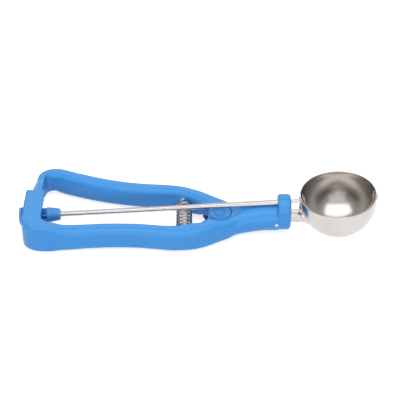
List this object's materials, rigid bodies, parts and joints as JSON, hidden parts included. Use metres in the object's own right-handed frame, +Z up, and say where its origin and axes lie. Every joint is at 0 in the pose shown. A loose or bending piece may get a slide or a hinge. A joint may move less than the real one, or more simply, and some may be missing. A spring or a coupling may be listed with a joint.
{
  "type": "lever ice cream scoop",
  "caption": "Squeeze-handle scoop: a sprung plastic lever drives a rack and pinion that turns a curved blade inside a round steel bowl to release the ball",
  "frame": {"origin": "Where the lever's pivot axis meets the plane that the scoop rests on", "axes": "+X from the pivot to the bowl, +Y to the lever's side, +Z up out of the open bowl"},
  "size_m": [0.2676, 0.083, 0.0351],
  "materials": {
    "handle_plastic": "smooth moulded light blue plastic with a soft sheen",
    "gear_plastic": "moulded blue plastic, slightly deeper than the handles",
    "bush_plastic": "natural white bearing plastic",
    "bowl_steel": "polished drawn stainless steel",
    "bright_steel": "bright polished stainless steel",
    "spring_wire": "plain stainless spring wire"
  },
  "bodies": {
    "handle": {"frame_handle": "handle_plastic", "pivot_pin": "handle_plastic", "pivot_washer": "bush_plastic", "return_spring": "spring_wire", "tail_bush": "bush_plastic", "collar_bush": "bush_plastic", "shank": "bright_steel", "shank_cross_pin": "bright_steel", "bowl_saddle": "bright_steel", "bowl": "bowl_steel", "bowl_eyelet": "bright_steel", "blade_rivet": "bright_steel", "blade_washer": "bush_plastic"},
    "lever": {"lever_handle": "handle_plastic"},
    "sweep": {"drive_rod": "bright_steel", "pinion": "gear_plastic", "pinion_washer": "bush_plastic", "rod_end_cap": "gear_plastic", "sweep_blade": "bright_steel", "blade_collar": "bright_steel"}
  },
  "joints": [
    {"name": "lever_squeeze", "type": "hinge", "parent": "handle", "child": "lever", "pos_m": [0, 0, 0.011], "axis": [0, 0, 1], "range_deg": [0, 5.28], "stiffness_Nm_per_rad": 2, "springref_deg": -5.73, "deforming": ["return_spring"]},
    {"name": "sweep_turn", "type": "hinge", "parent": "handle", "child": "sweep", "pos_m": [0.088, 0, 0.0285], "axis": [0.9976, 0, 0.0698], "range_deg": [0, 166.5]}
  ],
  "couplings": [
    {"joint": "sweep_turn", "follows": "lever_squeeze", "ratio": 31.403}
  ]
}
